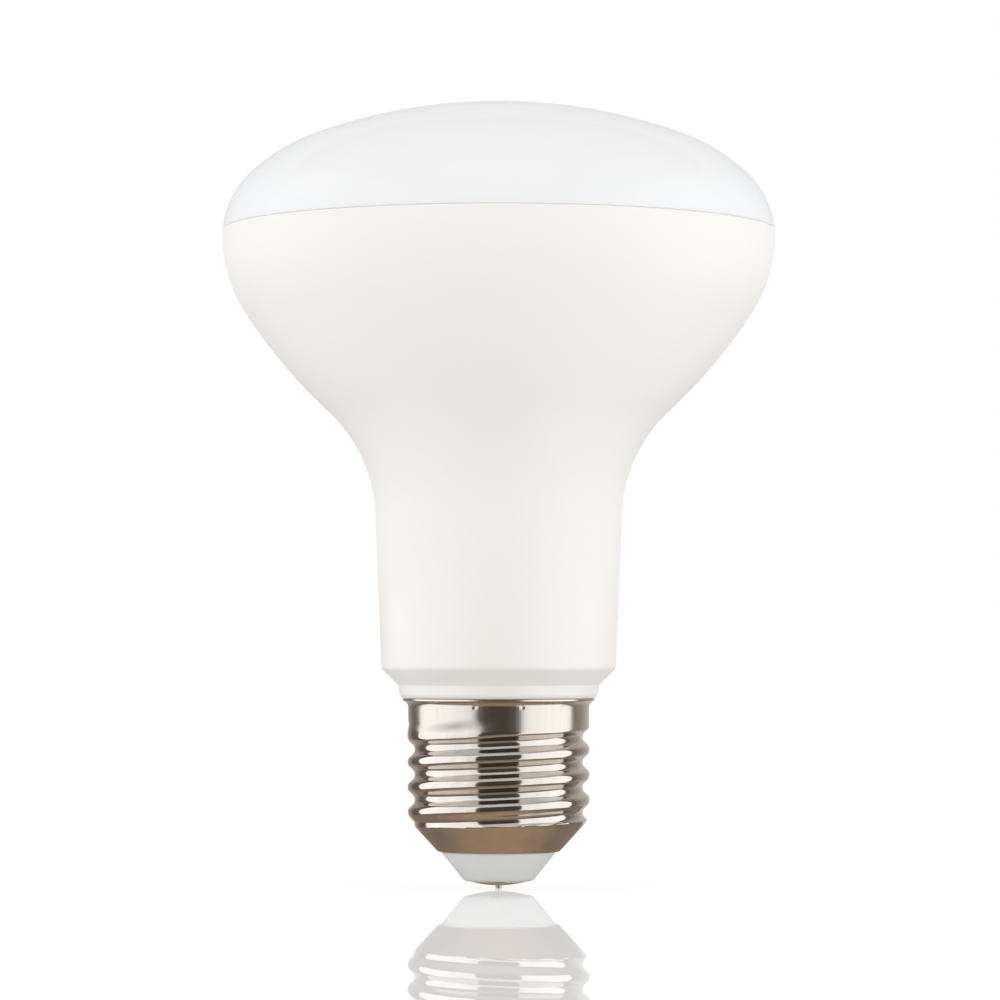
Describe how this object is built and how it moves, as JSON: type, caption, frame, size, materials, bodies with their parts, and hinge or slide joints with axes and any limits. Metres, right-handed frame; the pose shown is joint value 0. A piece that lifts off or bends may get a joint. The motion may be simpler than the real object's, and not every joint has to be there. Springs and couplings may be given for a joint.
{
  "type": "reflector bulb",
  "caption": "Reflector bulb with an opal dome, a flared white housing with a tapered neck, and a nickel-plated screw cap with a centre contact.",
  "frame": {"origin": "tip of the centre contact, on the bulb's axis", "axes": "+Z along the bulb's axis from the contact to the dome; -Y towards the viewer of the picture, +X to the right"},
  "size_m": [0.08, 0.08, 0.1133],
  "materials": {
    "opal_plastic": "glossy opal white",
    "white_plastic": "satin warm white",
    "nickel_plate": "bright nickel plate, a little warm",
    "grey_insulation": "satin light grey",
    "contact_metal": "plated, dull"
  },
  "bodies": {
    "root": {"diffuser": "opal_plastic", "housing": "white_plastic", "screw_shell": "nickel_plate", "insulator": "grey_insulation", "centre_contact": "contact_metal"}
  },
  "joints": []
}
